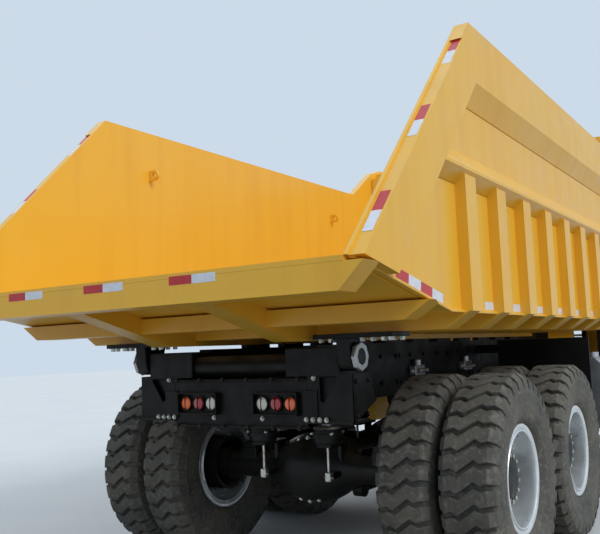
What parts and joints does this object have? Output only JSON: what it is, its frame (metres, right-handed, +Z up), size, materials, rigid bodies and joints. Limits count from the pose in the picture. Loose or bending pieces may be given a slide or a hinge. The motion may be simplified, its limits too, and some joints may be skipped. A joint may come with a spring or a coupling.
{
  "type": "mining dump truck",
  "caption": "Wide-body three-axle mining dump truck with twin drive wheels, a ribbed tipping body with a rising tail and a front telescopic hoist.",
  "frame": {"origin": "on the ground under the middle of the bounding box, on the truck's centreline, midway between tail lip and front bumper", "axes": "+Y forward, +X to the truck's right, +Z up"},
  "size_m": [3.74, 9.05, 3.98],
  "materials": {
    "body_paint": "golden yellow enamel, satin, dusty at the seams",
    "chassis_paint": "black chassis enamel, dusty",
    "axle_paint": "black enamel, greasy and dusty",
    "rubber": "plain black rubber",
    "tyre": "rock-lug tyre rubber, dusty grey-brown",
    "rim": "silver wheel enamel",
    "hard_chrome": "hard chrome stage",
    "glass": "tinted safety glass",
    "trim": "dark cab trim",
    "cast": "cast iron, oily",
    "tank": "brushed aluminium tank",
    "lamp": "moulded lamp lenses"
  },
  "bodies": {
    "chassis": {"chassis_frame": "chassis_paint", "tail_frame": "chassis_paint", "lamps": "lamp", "front_bumper": "body_paint", "grille": "chassis_paint", "radiator": "cast", "engine": "cast", "driveline": "cast", "front_axle": "axle_paint", "drive_axles": "axle_paint", "leaf_springs": "axle_paint", "torque_rods": "axle_paint", "cab_shell": "body_paint", "cab_glass": "glass", "seat": "trim", "dashboard": "trim", "deck": "body_paint", "engine_hood": "body_paint", "handrails": "chassis_paint", "ladder": "chassis_paint", "mirrors": "chassis_paint", "air_cleaners": "chassis_paint", "exhaust": "cast", "fuel_tank": "tank", "hydraulic_tank": "body_paint", "battery_box": "chassis_paint", "air_tanks": "chassis_paint", "mudguards": "chassis_paint"},
    "bed": {"bed_floor": "body_paint", "bed_underframe": "body_paint", "bed_side_left": "body_paint", "bed_side_right": "body_paint", "bed_front_wall": "body_paint", "bed_canopy": "body_paint", "bed_hinges": "chassis_paint", "bed_pads": "rubber"},
    "door": {"cab_door": "body_paint", "door_glass": "glass"},
    "hoist_barrel": {"hoist_barrel": "chassis_paint"},
    "hoist_stage_1": {"hoist_stage_1": "hard_chrome"},
    "hoist_stage_2": {"hoist_stage_2": "hard_chrome"},
    "hoist_stage_3": {"hoist_stage_3": "hard_chrome"},
    "knuckle_left": {"knuckle_left": "axle_paint"},
    "knuckle_right": {"knuckle_right": "axle_paint"},
    "track_rod": {"track_rod": "axle_paint"},
    "wheel_front_left": {"tyre_front_left": "tyre", "rim_front_left": "rim"},
    "wheel_front_right": {"tyre_front_right": "tyre", "rim_front_right": "rim"},
    "wheels_mid_left": {"tyres_mid_left": "tyre", "rims_mid_left": "rim"},
    "wheels_mid_right": {"tyres_mid_right": "tyre", "rims_mid_right": "rim"},
    "wheels_rear_left": {"tyres_rear_left": "tyre", "rims_rear_left": "rim"},
    "wheels_rear_right": {"tyres_rear_right": "tyre", "rims_rear_right": "rim"}
  },
  "joints": [
    {"name": "bed_tip", "type": "hinge", "parent": "chassis", "child": "bed", "pos_m": [0, -3.26, 1.52], "axis": [1, 0, 0], "range_deg": [0, 45]},
    {"name": "cab_door", "type": "hinge", "parent": "chassis", "child": "door", "pos_m": [-1.616, 3.8875, 2.5], "axis": [0, 0, -1], "range_deg": [0, 70]},
    {"name": "hoist_lean", "type": "hinge", "parent": "chassis", "child": "hoist_barrel", "pos_m": [0, 2.1, 1.44], "axis": [1, 0, 0], "range_deg": [0, 29.49]},
    {"name": "hoist_slide_1", "type": "slide", "parent": "hoist_barrel", "child": "hoist_stage_1", "axis": [0, 0, 1], "range_m": [0, 1.3338]},
    {"name": "hoist_slide_2", "type": "slide", "parent": "hoist_stage_1", "child": "hoist_stage_2", "axis": [0, 0, 1], "range_m": [0, 1.3338]},
    {"name": "hoist_slide_3", "type": "slide", "parent": "hoist_stage_2", "child": "hoist_stage_3", "axis": [0, 0, 1], "range_m": [0, 1.3338]},
    {"name": "steer_left", "type": "hinge", "parent": "chassis", "child": "knuckle_left", "pos_m": [-1.05, 2.95, 0.685], "axis": [0, 0, 1], "range_deg": [-35, 35]},
    {"name": "steer_right", "type": "hinge", "parent": "chassis", "child": "knuckle_right", "pos_m": [1.05, 2.95, 0.685], "axis": [0, 0, 1], "range_deg": [-36, 36]},
    {"name": "track_rod_turn", "type": "hinge", "parent": "knuckle_left", "child": "track_rod", "pos_m": [-1.05, 2.72, 0.535], "axis": [0, 0, 1], "range_deg": [-36, 36]},
    {"name": "spin_front_left", "type": "hinge", "parent": "knuckle_left", "child": "wheel_front_left", "pos_m": [-1.3, 2.95, 0.685], "axis": [1, 0, 0], "continuous": true},
    {"name": "spin_front_right", "type": "hinge", "parent": "knuckle_right", "child": "wheel_front_right", "pos_m": [1.3, 2.95, 0.685], "axis": [1, 0, 0], "continuous": true},
    {"name": "spin_mid_left", "type": "hinge", "parent": "chassis", "child": "wheels_mid_left", "pos_m": [-1.2175, -0.9, 0.685], "axis": [1, 0, 0], "continuous": true},
    {"name": "spin_mid_right", "type": "hinge", "parent": "chassis", "child": "wheels_mid_right", "pos_m": [1.2175, -0.9, 0.685], "axis": [1, 0, 0], "continuous": true},
    {"name": "spin_rear_left", "type": "hinge", "parent": "chassis", "child": "wheels_rear_left", "pos_m": [-1.2175, -2.35, 0.685], "axis": [1, 0, 0], "continuous": true},
    {"name": "spin_rear_right", "type": "hinge", "parent": "chassis", "child": "wheels_rear_right", "pos_m": [1.2175, -2.35, 0.685], "axis": [1, 0, 0], "continuous": true}
  ],
  "couplings": [
    {"joint": "hoist_lean", "follows": "bed_tip", "ratio": 0.64411},
    {"joint": "hoist_slide_1", "follows": "bed_tip", "m_per_rad": 1.6957},
    {"joint": "hoist_slide_2", "follows": "bed_tip", "m_per_rad": 1.6957},
    {"joint": "hoist_slide_3", "follows": "bed_tip", "m_per_rad": 1.6957},
    {"joint": "steer_right", "follows": "steer_left", "ratio": 1},
    {"joint": "track_rod_turn", "follows": "steer_left", "ratio": -1}
  ]
}
